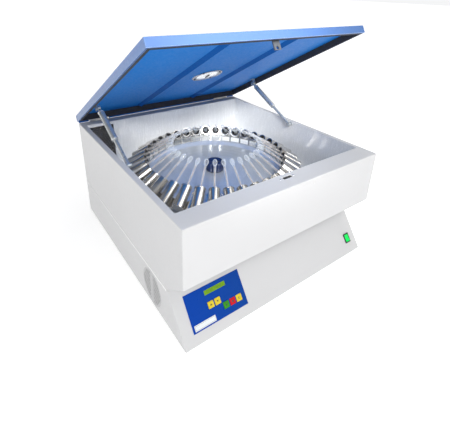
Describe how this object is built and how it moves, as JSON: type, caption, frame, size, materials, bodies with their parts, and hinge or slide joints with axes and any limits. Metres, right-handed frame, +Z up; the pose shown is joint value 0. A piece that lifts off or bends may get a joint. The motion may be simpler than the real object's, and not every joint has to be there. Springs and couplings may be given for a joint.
{
  "type": "benchtop butyrometer centrifuge",
  "caption": "Benchtop laboratory centrifuge with a square heated tub, a tilted-sleeve rotor loaded with glass butyrometers, a hinged propped lid and a sloping key panel.",
  "frame": {"origin": "on the ground under the middle of the machine's outline", "axes": "+Z up, +X to the operator's right, -Y towards the operator"},
  "size_m": [0.627, 0.68, 0.6597],
  "materials": {
    "white_coat": "fine satin powder coat",
    "blue_coat": "satin powder coat",
    "tub_steel": "satin, vertical grain",
    "disc_steel": "turned, bright",
    "sleeve_steel": "drawn, bright",
    "bright_steel": "polished",
    "dark_steel": "black oxide",
    "plated_steel": "zinc plated",
    "mesh_dark": "dark, matt",
    "clear_glass": "clear, fire polished",
    "stopper_rubber": "moulded",
    "black_rubber": "moulded",
    "foam": "closed-cell foam",
    "knob_plastic": "moulded, dark blue",
    "panel_film": "printed film",
    "display": "backlit display",
    "label_film": "silver film",
    "key_yellow": "silicone",
    "key_green": "silicone",
    "key_red": "silicone",
    "black_plastic": "moulded",
    "lit_green": "translucent, lit",
    "circuit": "coated board",
    "motor_paint": "grey enamel",
    "brass": "plated contacts",
    "window_clear": "clear sheet"
  },
  "bodies": {
    "machine": {"base_plate": "plated_steel", "lower_casing": "white_coat", "upper_casing": "white_coat", "chamber_liner": "tub_steel", "motor_deck": "plated_steel", "heater_grille": "mesh_dark", "heater_element": "dark_steel", "side_vents": "white_coat", "control_panel": "panel_film", "display_window": "display", "control_board": "circuit", "label_plate": "label_film", "switch_frame": "black_plastic", "lock_plate": "dark_steel", "lock_screws": "plated_steel", "lock_housing": "black_plastic", "motor_housing": "motor_paint", "shaft_bearings": "plated_steel", "motor_mounts": "black_rubber", "shaft_seal": "black_rubber", "speed_sensor": "black_plastic", "drive_electronics": "circuit", "mains_inlet": "black_plastic", "inlet_pins": "brass", "fuse_drawer": "black_plastic", "rubber_feet": "black_rubber", "casing_screws": "plated_steel", "hinge_casing_leaves": "dark_steel", "hinge_pins": "dark_steel", "stay_wall_studs": "plated_steel", "fan_frame": "black_plastic"},
    "lid": {"lid_shell": "blue_coat", "lid_ribs": "blue_coat", "lid_gasket": "foam", "lid_window": "window_clear", "window_screws": "plated_steel", "lid_striker": "label_film", "hinge_lid_leaves": "dark_steel", "stay_lid_brackets": "blue_coat"},
    "stay_rod_left_body": {"stay_rod_left": "bright_steel"},
    "stay_barrel_left_body": {"stay_barrel_left": "bright_steel"},
    "stay_rod_right_body": {"stay_rod_right": "bright_steel"},
    "stay_barrel_right_body": {"stay_barrel_right": "bright_steel"},
    "rotor": {"rotor_disc": "disc_steel", "sleeve_posts": "sleeve_steel", "sleeve_ring": "disc_steel", "rotor_sleeves": "sleeve_steel", "butyrometer_glass": "clear_glass", "butyrometer_stoppers": "stopper_rubber", "rotor_knob": "knob_plastic", "drive_shaft": "bright_steel"},
    "fan": {"fan_impeller": "black_plastic"},
    "bolt": {"lock_bolt": "bright_steel"},
    "rocker": {"rocker_button": "lit_green"},
    "key_up_body": {"key_up": "key_yellow"},
    "key_down_body": {"key_down": "key_yellow"},
    "key_start_body": {"key_start": "key_green"},
    "key_stop_body": {"key_stop": "key_red"},
    "key_lid_body": {"key_lid": "key_yellow"}
  },
  "joints": [
    {"name": "lid_hinge", "type": "hinge", "parent": "machine", "child": "lid", "pos_m": [0, 0.335, 0.3315], "axis": [-1, 0, 0], "range_deg": [-29, 0]},
    {"name": "stay_left_pivot", "type": "hinge", "parent": "machine", "child": "stay_rod_left_body", "pos_m": [-0.285, -0.019, 0.321], "axis": [1, 0, 0], "range_deg": [-22.8, 0]},
    {"name": "stay_left_slide", "type": "slide", "parent": "stay_rod_left_body", "child": "stay_barrel_left_body", "axis": [0, 0.8987, 0.4386], "range_m": [-0.0446, 0]},
    {"name": "stay_right_pivot", "type": "hinge", "parent": "machine", "child": "stay_rod_right_body", "pos_m": [0.285, -0.019, 0.321], "axis": [1, 0, 0], "range_deg": [-22.8, 0]},
    {"name": "stay_right_slide", "type": "slide", "parent": "stay_rod_right_body", "child": "stay_barrel_right_body", "axis": [0, 0.8987, 0.4386], "range_m": [-0.0446, 0]},
    {"name": "rotor_spin", "type": "hinge", "parent": "machine", "child": "rotor", "pos_m": [0, 0.008, 0.218], "axis": [0, 0, 1], "continuous": true},
    {"name": "fan_spin", "type": "hinge", "parent": "machine", "child": "fan", "pos_m": [-0.296, -0.177, 0.064], "axis": [1, 0, 0], "continuous": true},
    {"name": "lock_bolt_slide", "type": "slide", "parent": "machine", "child": "bolt", "axis": [0, 1, 0], "range_m": [0, 0.012], "stiffness_N_per_m": 120},
    {"name": "rocker_tilt", "type": "hinge", "parent": "machine", "child": "rocker", "pos_m": [0.274, -0.31475, 0.04418], "axis": [1, 0, 0], "range_deg": [0, 12]},
    {"name": "key_up_press", "type": "slide", "parent": "machine", "child": "key_up_body", "axis": [0, 0.8043, -0.5942], "range_m": [0, 0.0006], "stiffness_N_per_m": 900},
    {"name": "key_down_press", "type": "slide", "parent": "machine", "child": "key_down_body", "axis": [0, 0.8043, -0.5942], "range_m": [0, 0.0006], "stiffness_N_per_m": 900},
    {"name": "key_start_press", "type": "slide", "parent": "machine", "child": "key_start_body", "axis": [0, 0.8043, -0.5942], "range_m": [0, 0.0006], "stiffness_N_per_m": 900},
    {"name": "key_stop_press", "type": "slide", "parent": "machine", "child": "key_stop_body", "axis": [0, 0.8043, -0.5942], "range_m": [0, 0.0006], "stiffness_N_per_m": 900},
    {"name": "key_lid_press", "type": "slide", "parent": "machine", "child": "key_lid_body", "axis": [0, 0.8043, -0.5942], "range_m": [0, 0.0006], "stiffness_N_per_m": 900}
  ],
  "couplings": [
    {"joint": "stay_left_pivot", "follows": "lid_hinge", "ratio": 0.77939},
    {"joint": "stay_left_slide", "follows": "lid_hinge", "m_per_rad": 0.087656},
    {"joint": "stay_right_pivot", "follows": "lid_hinge", "ratio": 0.77939},
    {"joint": "stay_right_slide", "follows": "lid_hinge", "m_per_rad": 0.087656}
  ]
}
